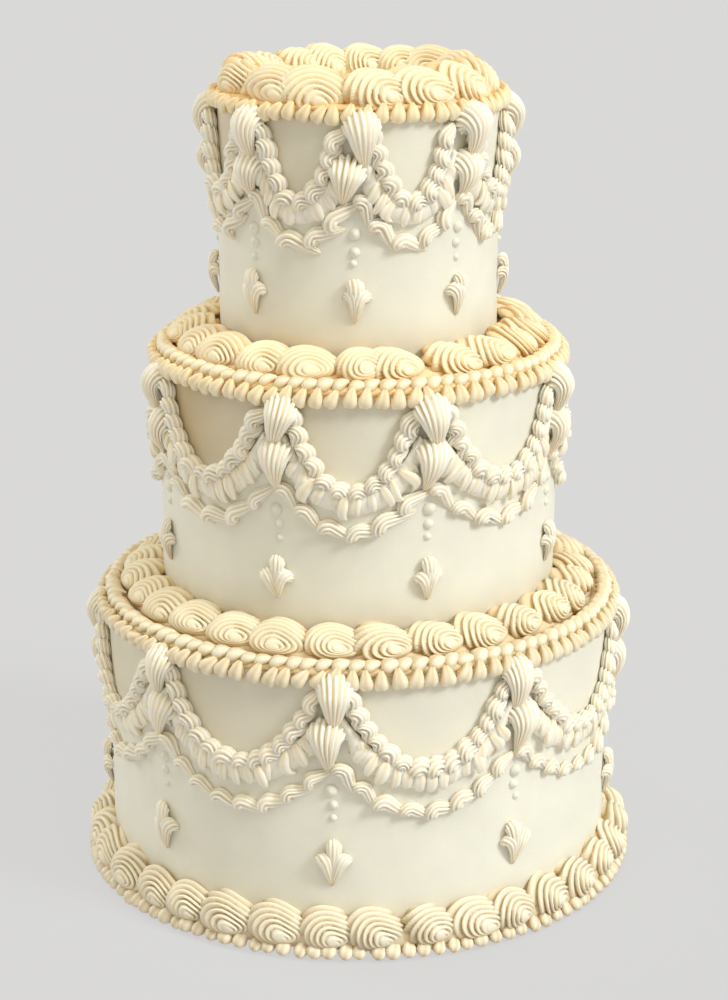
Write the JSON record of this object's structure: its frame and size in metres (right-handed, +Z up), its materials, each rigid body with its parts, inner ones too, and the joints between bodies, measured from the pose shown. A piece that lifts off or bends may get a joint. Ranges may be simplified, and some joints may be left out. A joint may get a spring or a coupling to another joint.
{
  "type": "lambeth cake",
  "caption": "Tall three-tier celebration cake in ivory icing, with shell borders, beaded rims, draped swags with plumes, small wall sprays and a crown of large shells.",
  "frame": {"origin": "centre of the cake's flat underside, on the plane it stands on", "axes": "+Z up along the axis of the tiers, the cake's front towards -Y"},
  "size_m": [0.2932, 0.2932, 0.4196],
  "materials": {
    "icing": "smooth ivory buttercream, softly matt",
    "piping": "ridged ivory buttercream, softly matt",
    "warm_piping": "ridged cream-yellow buttercream, softly matt"
  },
  "bodies": {
    "root": {"tier_bottom": "icing", "tier_middle": "icing", "tier_top": "icing", "rim_bottom": "warm_piping", "rim_middle": "warm_piping", "rim_top": "warm_piping", "border_base": "piping", "border_base_beads": "piping", "border_middle": "warm_piping", "border_top": "warm_piping", "crown": "warm_piping", "garland_bottom": "piping", "garland_middle": "piping", "garland_top": "piping", "lower_swag_bottom": "piping", "lower_swag_middle": "piping", "lower_swag_top": "piping", "motif_bottom_1": "piping", "motif_bottom_2": "piping", "motif_bottom_3": "piping", "motif_bottom_4": "piping", "motif_bottom_5": "piping", "motif_bottom_6": "piping", "motif_bottom_7": "piping", "motif_bottom_8": "piping", "motif_bottom_9": "piping", "motif_middle_1": "piping", "motif_middle_2": "piping", "motif_middle_3": "piping", "motif_middle_4": "piping", "motif_middle_5": "piping", "motif_middle_6": "piping", "motif_middle_7": "piping", "motif_middle_8": "piping", "motif_top_1": "piping", "motif_top_2": "piping", "motif_top_3": "piping", "motif_top_4": "piping", "motif_top_5": "piping", "motif_top_6": "piping", "motif_top_7": "piping", "motif_top_8": "piping"}
  },
  "joints": []
}
